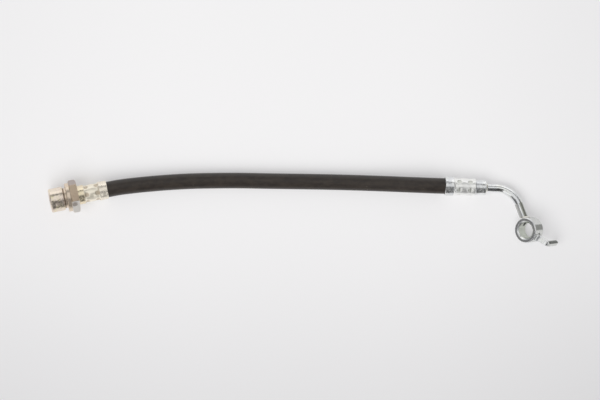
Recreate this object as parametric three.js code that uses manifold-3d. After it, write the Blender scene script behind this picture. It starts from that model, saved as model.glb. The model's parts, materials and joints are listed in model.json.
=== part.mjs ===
// A brake hose in millimetres, +Z up, lying on the surface z = 0.
// The hose follows its route, and each end fitting is set on an end of the hose: the fitting's own
// X axis starts at the mouth of its crimped socket and runs away from the hose.
import * as THREE from "three";
import { mergeVertices } from "three/addons/utils/BufferGeometryUtils.js";
import Module from "manifold-3d";

const wasm = await Module();
wasm.setup();
const { degToRad, lerp, smoothstep } = THREE.MathUtils;

// Clearances
const fitGap = 0.15; // on the radius, between pieces pressed or brazed into each other
const seatGap = 0.3; // between faces that butt together
const plyGap = 0.1; // between the plies of the hose
const mouthGap = 0.2; // on the radius, between the hose and its socket

// The hose: its bore, and the wall of each ply from the inside out
const hoseBore = 3.2;
const linerWall = 0.95;
const innerBraidWall = 0.4;
const cushionWall = 0.3;
const outerBraidWall = 0.4;
const coverWall = 1.0;
const hoseSides = 12;
const stepDiameters = 2; // the length of a step along the free hose, in hose diameters

// The free hose from the inlet's mouth to the outlet's, as it lies
const route = [
  [-126.3, 14.16, 8.66],
  [-118.4, 15.61, 8.01],
  [-110.4, 16.63, 7.41],
  [-102.6, 17.46, 6.9],
  [-87.2, 18.77, 6.08],
  [-71.7, 19.61, 5.5],
  [-56.2, 19.93, 5.17],
  [-40.7, 19.98, 5.06],
  [-25.2, 19.71, 5.06],
  [-9.8, 19.47, 5.06],
  [5.7, 19.25, 5.06],
  [21.2, 18.94, 5.15],
  [36.7, 18.49, 5.65],
  [52.2, 17.96, 6.6],
  [67.7, 17.33, 7.62],
  [76, 17.01, 8],
  [83.2, 16.73, 8.03],
  [91.2, 16.48, 7.65],
].map(([x, y, z]) => new THREE.Vector3(x, y, z));

// Crimped sockets: both have one section, and differ in their lengths, counted from the mouth
const socketWall = 0.85;
const mouthChamfer = 0.25;
const dimplesAround = 6;
const dimpleDepth = 0.6;
const dimpleHalfLength = 1.6;
const crimpSqueeze = 0.5; // how far the whole crimped stretch is pressed in, on the radius
const crimpFade = 0.9; // the length over which the squeeze sets in
const squeezedHose = 0.55; // what the crimp leaves of the hose's wall
const fullHoseInMouth = 1.6; // the hose keeps its size this far inside the mouth
const squeezeLength = 3;
const turnedSides = 36;

// The inlet end, a female fitting: heading and rise of its axis, away from the hose
const inlet = {
  heading: degToRad(191.4),
  rise: degToRad(5),
  bell: 5.2,
  crimpLength: 10,
  bandSpacing: 6.9,
  fadeOut: 0.9, // the squeeze ends before the neck
  dimpleTurn: degToRad(9),
  depth: 17,
};
const neckLength = 19.15; // from the mouth to the hex flange
const hexAcross = 19;
const hexThickness = 5.1;
const hexTurn = degToRad(-12);
const hexChamferAngle = degToRad(30);
const collarLength = 2.3;
const collarDiameter = 18.4;
const clipGrooveWidth = 2.15;
const clipGrooveDepth = 1.2;
const endBodyLength = 8.9;
const endChamfer = 0.6;
const portBore = 8.9; // the M10 thread's core
const portWall = 3.25;
const portDepth = 11;
const portChamfer = 0.7;
const flareSeatHeight = 2.4;
const flareSeatBase = 7;
const flareSeatTip = 4.6;

// The outlet end: crimped socket, bent pipe and banjo eye
const outlet = {
  heading: degToRad(-2.4),
  rise: degToRad(-6.05),
  bell: 5.5,
  crimpLength: 14.2,
  bandSpacing: 7.1,
  fadeOut: 0, // the squeeze goes on to the shoulder
  dimpleTurn: degToRad(-24),
  depth: 18.9,
};
const tailDiameter = 9.7;
const tailLength = 7.1;
const tailChamfer = 0.35;
const pipeSeatDepth = 4.2;
const pipeDiameter = 5.5;
const pipeBore = 3.5;
const pipeLead = 6.9; // from the socket's end to the bend
const pipeBendRadius = 16;
const pipeBendAngle = degToRad(68.7);
const pipeBendPlane = degToRad(166.1); // the bend's plane, about the socket's axis from level
const pipeRun = 9.7; // from the bend to the eye
const pipeSides = 16;
const pipeBendSteps = 8;
const brazeLeg = 0.95;

// The banjo eye, turned about its own X axis, with the pipe coming in along its Z axis
const boltBore = 10.2;
const eyeWall = 3.05;
const eyeLength = 9.2;
const eyeOuterChamfer = 0.5;
const eyeBoreChamfer = 1.1;
const eyeTurn = degToRad(-134.45); // about the pipe, from the normal of the bend's plane
const eyeSides = 48;
const pipeInEye = 1.8;

// The locating tang: a strip that leans back, then bends to run along the eye's axis
const tangTurn = degToRad(149.3); // about the eye's axis, from the pipe
const tangLean = degToRad(21);
const tangReach = 7.6;
const tangRun = 10.5;
const tangWidth = 3.4;
const tangThickness = 2.6;
const tangEdge = 0.5;
const tangBendRadius = 2.6;
const tangRoot = 1.5; // how far the strip is sunk into the eye's wall

// The barbed inserts that the sockets are crimped over
const insertBore = 2.6;
const insertShank = 3.6;
const insertBarb = 4;
const barbPitch = 2.4;
const barbCrest = 0.85; // where a barb is highest, as a share of its pitch
const barbBack = 0.9; // and where it is back at the shank
const insertSeat = 2.5;
const insertTip = 3.2; // from the mouth
const insertLeadIn = 1.6;
const insertSides = 16;
const fluidHole = 3;

// Sizes that follow from the ones above
const plies = [
  ["hose_liner", linerWall],
  ["inner_braid", innerBraidWall],
  ["cushion_layer", cushionWall],
  ["outer_braid", outerBraidWall],
  ["hose_cover", coverWall],
];
const hoseRadius =
  hoseBore / 2 + plies.reduce((sum, [, wall]) => sum + wall + plyGap, -plyGap);
const socketBore = hoseRadius + mouthGap;
const socketRadius = socketBore + socketWall;
const pipeRadius = pipeDiameter / 2;
const insertHole = insertBarb / 2 + fitGap;
const eyeRadius = boltBore / 2 + eyeWall;
const socketEnd = outlet.bell + outlet.crimpLength + tailLength;

const zincYellow = { color: 0xb9a077, roughness: 0.32, metalness: 0.9 };
const zincBright = { color: 0xc9ccce, roughness: 0.2, metalness: 1 };
const brazing = { color: 0xd6d2c4, roughness: 0.3, metalness: 0.9 };
const steel = { color: 0x9b9b98, roughness: 0.4, metalness: 0.9 };
const rubber = { color: 0x2c2825, roughness: 0.75, metalness: 0 };
const linerRubber = { color: 0x1d1d1e, roughness: 0.6, metalness: 0 };
const yarn = { color: 0xd8d2bf, roughness: 0.9, metalness: 0 };

// A straight run along X, an arc that turns towards Y, and a second straight run, with one step on
// each run and equal steps round the arc.
class BentLine extends THREE.Curve {
  constructor(lead, radius, angle, run, arcSteps) {
    super();
    Object.assign(this, { lead, radius, angle, run, arcSteps, steps: arcSteps + 2 });
  }

  getPoint(share, target = new THREE.Vector3()) {
    const step = share * this.steps;
    const turn = (this.angle * Math.min(Math.max(step - 1, 0), this.arcSteps)) / this.arcSteps;
    const before = this.lead * Math.min(step, 1);
    const after = this.run * Math.max(step - this.arcSteps - 1, 0);
    return target.set(
      before + this.radius * Math.sin(turn) + after * Math.cos(turn),
      this.radius * (1 - Math.cos(turn)) + after * Math.sin(turn),
      0,
    );
  }

  getUtoTmapping(share) {
    return share;
  }
}

// The hose's centreline, with a section at each of the given distances along it.
class HoseLine extends THREE.CatmullRomCurve3 {
  sectionsAt(distances) {
    this.distances = distances;
    return this;
  }

  getUtoTmapping(share) {
    const place = share * (this.distances.length - 1);
    const before = Math.min(Math.floor(place), this.distances.length - 2);
    const distance = lerp(this.distances[before], this.distances[before + 1], place - before);
    return super.getUtoTmapping(0, distance);
  }
}

function solidOf(geometry) {
  const bare = geometry.clone();
  bare.deleteAttribute("normal");
  bare.deleteAttribute("uv");
  const merged = mergeVertices(bare, 1e-4);
  return new wasm.Manifold(
    new wasm.Mesh({
      numProp: 3,
      vertProperties: merged.attributes.position.array,
      triVerts: new Uint32Array(merged.index.array),
    }),
  );
}

function geometryOf(solid) {
  const mesh = solid.getMesh();
  return new THREE.BufferGeometry()
    .setAttribute("position", new THREE.BufferAttribute(mesh.vertProperties, 3))
    .setIndex(new THREE.BufferAttribute(mesh.triVerts, 1));
}

function piece(name, geometry, finish) {
  geometry.computeVertexNormals();
  const mesh = new THREE.Mesh(geometry, new THREE.MeshStandardMaterial(finish));
  mesh.name = name;
  return mesh;
}

// A closed profile of [x, radius] points turned about X. The outside is listed with x rising.
function turned(profile, sides) {
  const points = [...profile, profile[0]].map(([x, radius]) => new THREE.Vector2(radius, x));
  return new THREE.LatheGeometry(points, sides).rotateZ(-Math.PI / 2);
}

function cylinderAlongX(radius, from, to, sides) {
  return new THREE.CylinderGeometry(radius, radius, to - from, sides)
    .rotateZ(-Math.PI / 2)
    .translate((from + to) / 2, 0, 0);
}

function polygon(radius, sides, turn = 0) {
  return Array.from({ length: sides }, (_, i) => {
    const angle = turn + (2 * Math.PI * i) / sides;
    return new THREE.Vector2(radius * Math.cos(angle), radius * Math.sin(angle));
  });
}

function ringShape(outer, hole) {
  const shape = new THREE.Shape(outer);
  shape.holes.push(new THREE.Path(hole));
  return shape;
}

function directionOf({ heading, rise }) {
  return new THREE.Vector3(
    Math.cos(rise) * Math.cos(heading),
    Math.cos(rise) * Math.sin(heading),
    Math.sin(rise),
  );
}

// A group at a mouth with X along the fitting's axis, Y level and Z as near upright as it can be.
function fittingAt(mouth, end) {
  const x = directionOf(end);
  const y = new THREE.Vector3(0, 0, 1).cross(x).normalize();
  const group = new THREE.Group();
  group.position.copy(mouth);
  group.quaternion.setFromRotationMatrix(
    new THREE.Matrix4().makeBasis(x, y, x.clone().cross(y)),
  );
  return group;
}

// Crimping

function crimpRows(end) {
  const rows = Math.round(end.crimpLength);
  return Array.from({ length: rows + 1 }, (_, i) => end.bell + (end.crimpLength * i) / rows);
}

// How far the crimp presses a point of the socket in: a shallow squeeze over the whole stretch, and
// two bands of dimples, each a raised cosine round the socket and a bell curve along it.
function crimpedIn(end, x, angle) {
  const last = end.bell + end.crimpLength;
  const fadedOut = end.fadeOut ? smoothstep(last - x, 0, end.fadeOut) : 1;
  const stretch = smoothstep(x - end.bell, 0, crimpFade) * fadedOut;
  const middle = end.bell + end.crimpLength / 2;
  const bands = [-1, 1].map((side) => {
    const away = (x - middle - (side * end.bandSpacing) / 2) / dimpleHalfLength;
    return Math.exp(-away * away);
  });
  const around = (1 + Math.cos(dimplesAround * (angle - end.dimpleTurn))) / 2;
  return stretch * (crimpSqueeze + dimpleDepth * around * Math.max(...bands));
}

// Moves a socket's outer and inner walls in by the crimp. The angle runs from Z towards Y.
function crimped(geometry, end) {
  const at = geometry.attributes.position;
  for (let i = 0; i < at.count; i++) {
    const [x, y, z] = [at.getX(i), at.getY(i), at.getZ(i)];
    const radius = Math.hypot(y, z);
    if (x < end.bell + end.crimpLength + seatGap && radius > hoseRadius) {
      const kept = 1 - crimpedIn(end, x, Math.atan2(y, z)) / radius;
      at.setXYZ(i, x, y * kept, z * kept);
    }
  }
  return geometry;
}

function socketOutside(end) {
  return [
    [0, socketRadius - mouthChamfer],
    [mouthChamfer, socketRadius],
    ...crimpRows(end).map((x) => [x, socketRadius]),
  ];
}

function socketInside(end) {
  return [
    [end.depth + insertSeat, insertHole],
    [end.depth, insertHole],
    [end.depth, socketBore],
    ...crimpRows(end)
      .filter((x) => x < end.depth - crimpFade / 2)
      .reverse()
      .map((x) => [x, socketBore]),
    [0, socketBore],
  ];
}

// The inlet end

function femaleFitting() {
  const hexFace = neckLength + hexThickness;
  const grooveStart = hexFace + collarLength;
  const grooveEnd = grooveStart + clipGrooveWidth;
  const endFace = grooveEnd + endBodyLength;
  const bodyRadius = portBore / 2 + portWall;
  const portFloor = endFace - portDepth;
  const body = turned(
    [
      ...socketOutside(inlet),
      [neckLength + hexThickness / 2, socketRadius],
      [neckLength + hexThickness / 2, collarDiameter / 2],
      [grooveStart, collarDiameter / 2],
      [grooveStart, bodyRadius - clipGrooveDepth],
      [grooveEnd, bodyRadius - clipGrooveDepth],
      [grooveEnd, bodyRadius],
      [endFace - endChamfer, bodyRadius],
      [endFace, bodyRadius - endChamfer],
      [endFace, portBore / 2 + portChamfer],
      [endFace - portChamfer, portBore / 2],
      [portFloor, portBore / 2],
      [portFloor, flareSeatBase / 2],
      [portFloor + flareSeatHeight, flareSeatTip / 2],
      [portFloor + flareSeatHeight, fluidHole / 2],
      [inlet.depth + insertSeat, fluidHole / 2],
      ...socketInside(inlet),
    ],
    turnedSides,
  );
  return geometryOf(solidOf(crimped(body, inlet)).add(hexFlange(socketRadius - socketWall)));
}

// The hex flange, a ring whose corners are turned down to a cone on both faces.
function hexFlange(holeRadius) {
  const corner = hexAcross / 2 / Math.cos(Math.PI / 6);
  const faceRadius = hexAcross / 2;
  const fall = (corner - faceRadius) * Math.tan(hexChamferAngle);
  const blankHole = holeRadius / 2; // inside the hexagon's own hole, which it leaves as it is
  const hexagon = new THREE.ExtrudeGeometry(
    ringShape(polygon(corner, 6, Math.PI / 6 - hexTurn), polygon(holeRadius, turnedSides)),
    { depth: hexThickness, bevelEnabled: false },
  )
    .rotateY(Math.PI / 2)
    .translate(neckLength, 0, 0);
  const blank = turned(
    [
      [neckLength, blankHole],
      [neckLength, faceRadius],
      [neckLength + fall, corner],
      [neckLength + hexThickness - fall, corner],
      [neckLength + hexThickness, faceRadius],
      [neckLength + hexThickness, blankHole],
    ],
    2 * turnedSides,
  );
  return solidOf(hexagon).intersect(solidOf(blank));
}

// A barbed insert, from its tip inside the hose to its root in the socket's floor.
function insert(end) {
  const root = end.depth + insertSeat - seatGap;
  const barbsFrom = insertTip + insertLeadIn;
  const count = Math.floor((end.depth - barbsFrom - barbPitch) / barbPitch);
  const barbs = Array.from({ length: count }, (_, i) => barbsFrom + i * barbPitch).flatMap((x) => [
    [x, insertShank / 2],
    [x + barbPitch * barbCrest, insertBarb / 2],
    [x + barbPitch * barbBack, insertShank / 2],
  ]);
  return turned(
    [
      [insertTip, insertShank / 2 - (insertShank - insertBore) / 4],
      ...barbs,
      [end.depth - barbPitch / 2, insertShank / 2],
      [end.depth - barbPitch / 4, insertBarb / 2],
      [root, insertBarb / 2],
      [root, insertBore / 2],
      [insertTip, insertBore / 2],
    ],
    insertSides,
  );
}

// The outlet end

function crimpSocket() {
  const shoulder = outlet.bell + outlet.crimpLength;
  const pipeHole = pipeRadius + fitGap;
  return crimped(
    turned(
      [
        ...socketOutside(outlet),
        [shoulder + tailChamfer, tailDiameter / 2],
        [socketEnd - tailChamfer, tailDiameter / 2],
        [socketEnd, tailDiameter / 2 - tailChamfer],
        [socketEnd, pipeHole],
        [socketEnd - pipeSeatDepth, pipeHole],
        [socketEnd - pipeSeatDepth, fluidHole / 2],
        [outlet.depth + insertSeat, fluidHole / 2],
        ...socketInside(outlet),
      ],
      turnedSides,
    ),
    outlet,
  );
}

// The pipe's line, from inside the socket to inside the eye's wall, in its bend's plane.
const pipeStart = socketEnd - pipeSeatDepth + seatGap;
const pipeLine = new BentLine(
  socketEnd + pipeLead - pipeStart,
  pipeBendRadius,
  pipeBendAngle,
  pipeRun + pipeInEye,
  pipeBendSteps,
);

function bentPipe() {
  return new THREE.ExtrudeGeometry(
    ringShape(polygon(pipeRadius, pipeSides), polygon(pipeBore / 2, pipeSides)),
    { steps: pipeLine.steps, extrudePath: pipeLine, bevelEnabled: false },
  );
}

// A ring of brazing round the pipe, with a hollow face between its two legs.
function brazeRing(x) {
  const inner = pipeRadius + fitGap;
  const hollow = [1, 2, 3].map((i) => {
    const turn = (Math.PI / 2) * (i / 4);
    return [x + brazeLeg * (1 - Math.cos(turn)), inner + brazeLeg * (1 - Math.sin(turn))];
  });
  const rim = fitGap;
  return [
    [x, inner + brazeLeg + rim],
    ...hollow.map(([along, radius]) => [along, radius + rim]),
    [x + brazeLeg, inner + rim],
    [x + brazeLeg, inner],
  ];
}

function socketBraze() {
  const face = socketEnd + fitGap;
  return turned([[face, pipeRadius + fitGap], ...brazeRing(face)], pipeSides);
}

// The fillet at the eye: the same ring, carried down past the eye's curve and cut back from it.
function eyeBraze() {
  const inner = pipeRadius + fitGap;
  const crown = eyeRadius + fitGap;
  const foot = crown - brazeLeg;
  const ring = turned(
    [[foot, inner], [foot, inner + brazeLeg + fitGap], ...brazeRing(crown)],
    pipeSides,
  ).rotateY(-Math.PI / 2);
  const eye = cylinderAlongX(eyeRadius + fitGap, -eyeLength, eyeLength, eyeSides);
  return geometryOf(solidOf(ring).subtract(solidOf(eye)));
}

function banjoEye() {
  const half = eyeLength / 2;
  const barrel = turned(
    [
      [-half, eyeRadius - eyeOuterChamfer],
      [eyeOuterChamfer - half, eyeRadius],
      [half - eyeOuterChamfer, eyeRadius],
      [half, eyeRadius - eyeOuterChamfer],
      [half, boltBore / 2 + eyeBoreChamfer],
      [half - eyeBoreChamfer, boltBore / 2],
      [eyeBoreChamfer - half, boltBore / 2],
      [-half, boltBore / 2 + eyeBoreChamfer],
    ],
    eyeSides,
  );
  const seatFloor = eyeRadius - pipeInEye - seatGap;
  const pipeSeat = cylinderAlongX(pipeRadius + fitGap, seatFloor, 2 * eyeRadius, pipeSides);
  const port = cylinderAlongX(fluidHole / 2, 0, eyeRadius, pipeSides);
  const bore = cylinderAlongX(boltBore / 2, -eyeLength, eyeLength, eyeSides);
  return geometryOf(
    solidOf(barrel)
      .add(solidOf(tangStrip()).add(solidOf(tangEnd())).subtract(solidOf(bore)))
      .subtract(solidOf(pipeSeat.rotateY(-Math.PI / 2)))
      .subtract(solidOf(port.rotateY(-Math.PI / 2))),
  );
}

// The tang is made in the XY plane, X being its first run, and then set against the eye.
const tangBend = Math.PI / 2 - tangLean;
const tangTrim = tangBendRadius * Math.tan(tangBend / 2);
const tangLine = new BentLine(
  tangRoot + tangReach - tangTrim,
  tangBendRadius,
  tangBend,
  tangRun - tangTrim - tangWidth / 2,
  6,
);

function seatedTang(geometry) {
  return geometry
    .translate(-tangRoot, 0, 0)
    .rotateZ(tangLean)
    .translate(eyeRadius, 0, 0)
    .rotateZ(Math.PI / 2)
    .rotateX(Math.PI / 2 - tangTurn);
}

function tangStrip() {
  const w = tangWidth / 2;
  const t = tangThickness / 2;
  const section = [
    [w, t - tangEdge],
    [w - tangEdge, t],
    [tangEdge - w, t],
    [-w, t - tangEdge],
    [-w, tangEdge - t],
    [tangEdge - w, -t],
    [w - tangEdge, -t],
    [w, tangEdge - t],
  ].map(([x, y]) => new THREE.Vector2(x, y));
  return seatedTang(
    new THREE.ExtrudeGeometry(new THREE.Shape(section), {
      steps: tangLine.steps,
      extrudePath: tangLine,
      bevelEnabled: false,
    }),
  );
}

// The tang's round end, a disc with the strip's edges.
function tangEnd() {
  const t = tangThickness / 2;
  const w = tangWidth / 2;
  const disc = new THREE.LatheGeometry(
    [
      [0, -t],
      [w - tangEdge, -t],
      [w, tangEdge - t],
      [w, t - tangEdge],
      [w - tangEdge, t],
      [0, t],
    ].map(([radius, y]) => new THREE.Vector2(radius, y)),
    20,
  );
  const end = tangLine.getPoint(1);
  return seatedTang(disc.rotateZ(tangBend).translate(end.x, end.y, 0));
}

// The hose

const inletMouth = route[0];
const outletMouth = route.at(-1);
const inletTail = inlet.depth - seatGap;
const outletTail = outlet.depth - seatGap;
const hoseLine = new HoseLine([
  inletMouth.clone().addScaledVector(directionOf(inlet), inletTail),
  ...route,
  outletMouth.clone().addScaledVector(directionOf(outlet), outletTail),
]);
hoseLine.arcLengthDivisions = 1000;
const hoseLength = hoseLine.getLength();
const freeLength = hoseLength - inletTail - outletTail;
const freeSteps = Math.round(freeLength / (stepDiameters * 2 * hoseRadius));
const squeezedFrom = fullHoseInMouth + squeezeLength;
hoseLine.sectionsAt([
  0,
  inletTail - squeezedFrom,
  inletTail - fullHoseInMouth,
  ...Array.from({ length: freeSteps + 1 }, (_, i) => inletTail + (freeLength * i) / freeSteps),
  hoseLength - outletTail + fullHoseInMouth,
  hoseLength - outletTail + squeezedFrom,
  hoseLength,
]);

// One ply of the hose: a tube along the centreline, whose sections inside the crimped sockets are
// drawn in, so that the liner opens over the insert and the cover clears the dimples.
function ply(innerRadius, wall) {
  const steps = hoseLine.distances.length - 1;
  const centres = hoseLine.getSpacedPoints(steps);
  const tube = new THREE.ExtrudeGeometry(
    ringShape(polygon(innerRadius + wall, hoseSides), polygon(innerRadius, hoseSides)),
    { steps, extrudePath: hoseLine, bevelEnabled: false },
  );
  const at = tube.attributes.position;
  const point = new THREE.Vector3();
  for (let i = 0; i < at.count; i++) {
    point.fromBufferAttribute(at, i);
    const away = centres.map((centre) => centre.distanceTo(point));
    const radius = Math.min(...away);
    const section = away.indexOf(radius);
    if (section < 2 || section > steps - 2) {
      const centre = centres[section];
      const drawnIn = insertHole + squeezedHose * (radius - hoseBore / 2);
      point.sub(centre).multiplyScalar(drawnIn / radius).add(centre);
      at.setXYZ(i, point.x, point.y, point.z);
    }
  }
  return tube;
}

// The assembly

const brakeHose = new THREE.Group();

const plyFinishes = [linerRubber, yarn, linerRubber, yarn, rubber];
let plyRadius = hoseBore / 2;
plies.forEach(([name, wall], i) => {
  brakeHose.add(piece(name, ply(plyRadius, wall), plyFinishes[i]));
  plyRadius += wall + plyGap;
});

const inletEnd = fittingAt(inletMouth, inlet);
inletEnd.add(piece("female_fitting", femaleFitting(), zincYellow));
inletEnd.add(piece("inlet_nipple", insert(inlet), steel));

const outletEnd = fittingAt(outletMouth, outlet);
outletEnd.add(piece("crimp_socket", crimpSocket(), zincBright));
outletEnd.add(piece("outlet_nipple", insert(outlet), steel));
outletEnd.add(piece("socket_braze", socketBraze(), brazing));

const bendPlane = new THREE.Group();
bendPlane.rotation.x = pipeBendPlane;
const pipeFrame = new THREE.Group();
pipeFrame.position.x = pipeStart;
pipeFrame.add(piece("bent_pipe", bentPipe(), zincBright));

// The eye's Z axis points back along the pipe, and its X axis is turned about the pipe.
const eyeFrame = new THREE.Group();
const pipeEnd = pipeLine.getPoint(1);
const alongPipe = new THREE.Vector3(Math.cos(pipeBendAngle), Math.sin(pipeBendAngle), 0);
const eyeAxis = new THREE.Vector3(0, 0, 1).applyAxisAngle(alongPipe, eyeTurn);
const backUpPipe = alongPipe.clone().negate();
eyeFrame.position.copy(pipeEnd).addScaledVector(alongPipe, eyeRadius - pipeInEye);
eyeFrame.quaternion.setFromRotationMatrix(
  new THREE.Matrix4().makeBasis(eyeAxis, backUpPipe.clone().cross(eyeAxis), backUpPipe),
);
eyeFrame.add(piece("banjo_eye", banjoEye(), zincBright));
eyeFrame.add(piece("eye_braze", eyeBraze(), brazing));

pipeFrame.add(eyeFrame);
bendPlane.add(pipeFrame);
outletEnd.add(bendPlane);
brakeHose.add(inletEnd, outletEnd);

export default brakeHose;
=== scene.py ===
"""A brake hose lying on a pale surface: its surfaces, finishes, light and camera.

Sizes are in millimetres and become metres where a mesh is made. A fitting's own frame starts at the
mouth of its crimped socket: X runs along its axis away from the hose, Y is level, and Z is as near
upright as it can be. Angles round an axis go from Z towards Y."""
import json
from math import prod

import bpy
import numpy as np
from mathutils import Matrix, Vector

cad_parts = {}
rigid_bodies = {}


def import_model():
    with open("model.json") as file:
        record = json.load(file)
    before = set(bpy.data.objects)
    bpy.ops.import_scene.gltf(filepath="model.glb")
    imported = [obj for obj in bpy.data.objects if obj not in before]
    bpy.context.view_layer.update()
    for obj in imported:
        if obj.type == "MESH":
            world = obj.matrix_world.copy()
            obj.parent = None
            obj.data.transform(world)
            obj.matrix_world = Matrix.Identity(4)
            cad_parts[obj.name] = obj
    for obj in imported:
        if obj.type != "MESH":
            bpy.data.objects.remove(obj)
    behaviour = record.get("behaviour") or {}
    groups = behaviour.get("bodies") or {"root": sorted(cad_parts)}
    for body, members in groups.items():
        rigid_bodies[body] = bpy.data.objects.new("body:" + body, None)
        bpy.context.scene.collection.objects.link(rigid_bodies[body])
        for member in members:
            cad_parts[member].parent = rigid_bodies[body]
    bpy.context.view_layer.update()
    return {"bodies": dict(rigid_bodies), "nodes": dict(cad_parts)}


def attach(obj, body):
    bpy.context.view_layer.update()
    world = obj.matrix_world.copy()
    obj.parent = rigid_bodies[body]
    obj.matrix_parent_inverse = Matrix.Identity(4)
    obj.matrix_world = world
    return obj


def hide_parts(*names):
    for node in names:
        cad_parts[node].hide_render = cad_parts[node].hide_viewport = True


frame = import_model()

BODY = next(iter(frame["bodies"]))
MM = 0.001
NEAR = 0.01  # lengths closer than this are the same
FAR = 99  # farther than any point of a fitting from its axis or its mouth

# Sizes of the hose and its fittings
FIT_GAP = 0.15
SEAT_GAP = 0.3
HOSE_RADIUS = 5.05
COVER_BORE = 4.05
ROUTE = np.array([
    [-126.3, 14.16, 8.66], [-118.4, 15.61, 8.01], [-110.4, 16.63, 7.41], [-102.6, 17.46, 6.9],
    [-87.2, 18.77, 6.08], [-71.7, 19.61, 5.5], [-56.2, 19.93, 5.17], [-40.7, 19.98, 5.06],
    [-25.2, 19.71, 5.06], [-9.8, 19.47, 5.06], [5.7, 19.25, 5.06], [21.2, 18.94, 5.15],
    [36.7, 18.49, 5.65], [52.2, 17.96, 6.6], [67.7, 17.33, 7.62], [76, 17.01, 8],
    [83.2, 16.73, 8.03], [91.2, 16.48, 7.65],
])
SQUEEZED_COVER = 4.05
SQUEEZED_COVER_BORE = 3.5
FULL_IN_MOUTH = 1.6
SQUEEZE_LENGTH = 3

SOCKET_BORE = 5.25
SOCKET_RADIUS = 6.1
MOUTH_CHAMFER = 0.25
DIMPLES_AROUND = 6
DIMPLE_DEPTH = 0.6
DIMPLE_EDGE = (0.5, 3.2)
BAND_HALF_LENGTH = 1.9
BETWEEN_DIMPLES = 0.35
CRIMP_SQUEEZE = 0.5
CRIMP_FADE = 0.9
DRAWN_MOUTH = 0.18
INSERT_HOLE = 2.15
INSERT_SEAT = 2.5
FLUID_HOLE = 1.5

INLET = dict(heading=191.4, rise=5, bell=5.2, crimp=10, bands=6.9, fade_out=0.9, turn=9, depth=17)
NECK = 19.15
HEX_ACROSS = 19
HEX_THICKNESS = 5.1
HEX_TURN = -12
HEX_CHAMFER_ANGLE = 30
COLLAR = 2.3
COLLAR_RADIUS = 9.2
GROOVE_WIDTH = 2.15
GROOVE_DEPTH = 1.2
END_BODY = 8.9
END_CHAMFER = 0.6
PORT_BORE = 4.45
PORT_WALL = 3.25
PORT_DEPTH = 11
PORT_CHAMFER = 0.7
THREAD_PITCH = 1
THREAD_DEPTH = 0.54
FLARE_SEAT = dict(height=2.4, base=3.5, tip=2.3)

OUTLET = dict(heading=-2.4, rise=-6.05, bell=5.5, crimp=14.2, bands=7.1, fade_out=0, turn=-24, depth=18.9)
TAIL_RADIUS = 4.85
TAIL_LENGTH = 7.1
TAIL_CHAMFER = 0.35
PIPE_SEAT = 4.2
PIPE_RADIUS = 2.75
PIPE_BORE = 1.75
PIPE_LEAD = 6.9
PIPE_BEND_RADIUS = 16
PIPE_BEND = np.radians(68.7)
PIPE_PLANE = np.radians(166.1)
PIPE_RUN = 9.7
BRAZE_LEG = 0.95

BOLT_BORE = 5.1
EYE_RADIUS = 8.15
EYE_LENGTH = 9.2
EYE_CHAMFER = 0.5
EYE_BORE_CHAMFER = 1.1
EYE_TURN = np.radians(-134.45)
PIPE_IN_EYE = 1.8
PORT_WEB = 0.3  # what is left between the port and the pipe's seat, out of sight
TANG_TURN = np.radians(149.3)
TANG_LEAN = np.radians(21)
TANG_REACH = 7.6
TANG_RUN = 10.5
TANG_WIDTH = 3.4
TANG_THICKNESS = 2.6
TANG_BEND_RADIUS = 2.6
TANG_ROOT = 1.5

# Sizes that follow from the ones above
HEX_FACE = NECK + HEX_THICKNESS
HEX_CORNER = HEX_ACROSS / 2 / np.cos(np.pi / 6)
GROOVE = HEX_FACE + COLLAR
GROOVE_END = GROOVE + GROOVE_WIDTH
END_FACE = GROOVE_END + END_BODY
BODY_RADIUS = PORT_BORE + PORT_WALL
PORT_FLOOR = END_FACE - PORT_DEPTH
CRIMP_END = INLET["bell"] + INLET["crimp"]
SHOULDER = OUTLET["bell"] + OUTLET["crimp"]
SOCKET_END = SHOULDER + TAIL_LENGTH
INLET_TAIL = INLET["depth"] - SEAT_GAP
OUTLET_TAIL = OUTLET["depth"] - SEAT_GAP
PIPE_LENGTHS = (PIPE_LEAD + PIPE_SEAT - SEAT_GAP, PIPE_BEND_RADIUS, PIPE_BEND, PIPE_RUN + PIPE_IN_EYE)
BRAZED_RADIUS = PIPE_RADIUS + FIT_GAP / 2
EYE_HALF = EYE_LENGTH / 2

# The photograph's frame: where its middle is, and its scale
VIEW_CENTRE = (-2.01, 7.45)
PIXELS_PER_MM = 1.55
PHOTO_WIDTH = 600
CAMERA_DISTANCE = 3000
SENSOR = 36


# Numbers and frames

def unit(vector):
    return vector / np.linalg.norm(vector, axis=-1, keepdims=True)


def smooth(value, low, high):
    """0 below low, 1 above high, and 3t^2 - 2t^3 between them."""
    t = np.clip((value - low) / (high - low), 0, 1)
    return t * t * (3 - 2 * t)


class Place:
    """An origin and three unit axes, in millimetres of the row's frame."""

    def __init__(self, origin, x, y, z):
        self.origin, self.axes = np.asarray(origin, float), np.array([x, y, z], float)

    def out(self, local):
        """Local points or arrays of points as points of the row's frame."""
        return self.origin + np.asarray(local) @ self.axes

    def turned(self, local_origin, x, y, z):
        """A frame inside this one, given by its origin and axes in this one."""
        return Place(self.out(local_origin), *(np.array([x, y, z]) @ self.axes))


def level_place(origin, x):
    """X is the given direction, Y is level, and Z is as near upright as it can be."""
    y = unit(np.cross([0, 0, 1], x))
    return Place(origin, x, y, np.cross(x, y))


def fitting_place(mouth, end):
    """X is the direction with the end's heading and rise."""
    heading, rise = np.radians(end["heading"]), np.radians(end["rise"])
    x = np.array([np.cos(rise) * np.cos(heading), np.cos(rise) * np.sin(heading), np.sin(rise)])
    return level_place(mouth, x)


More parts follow.
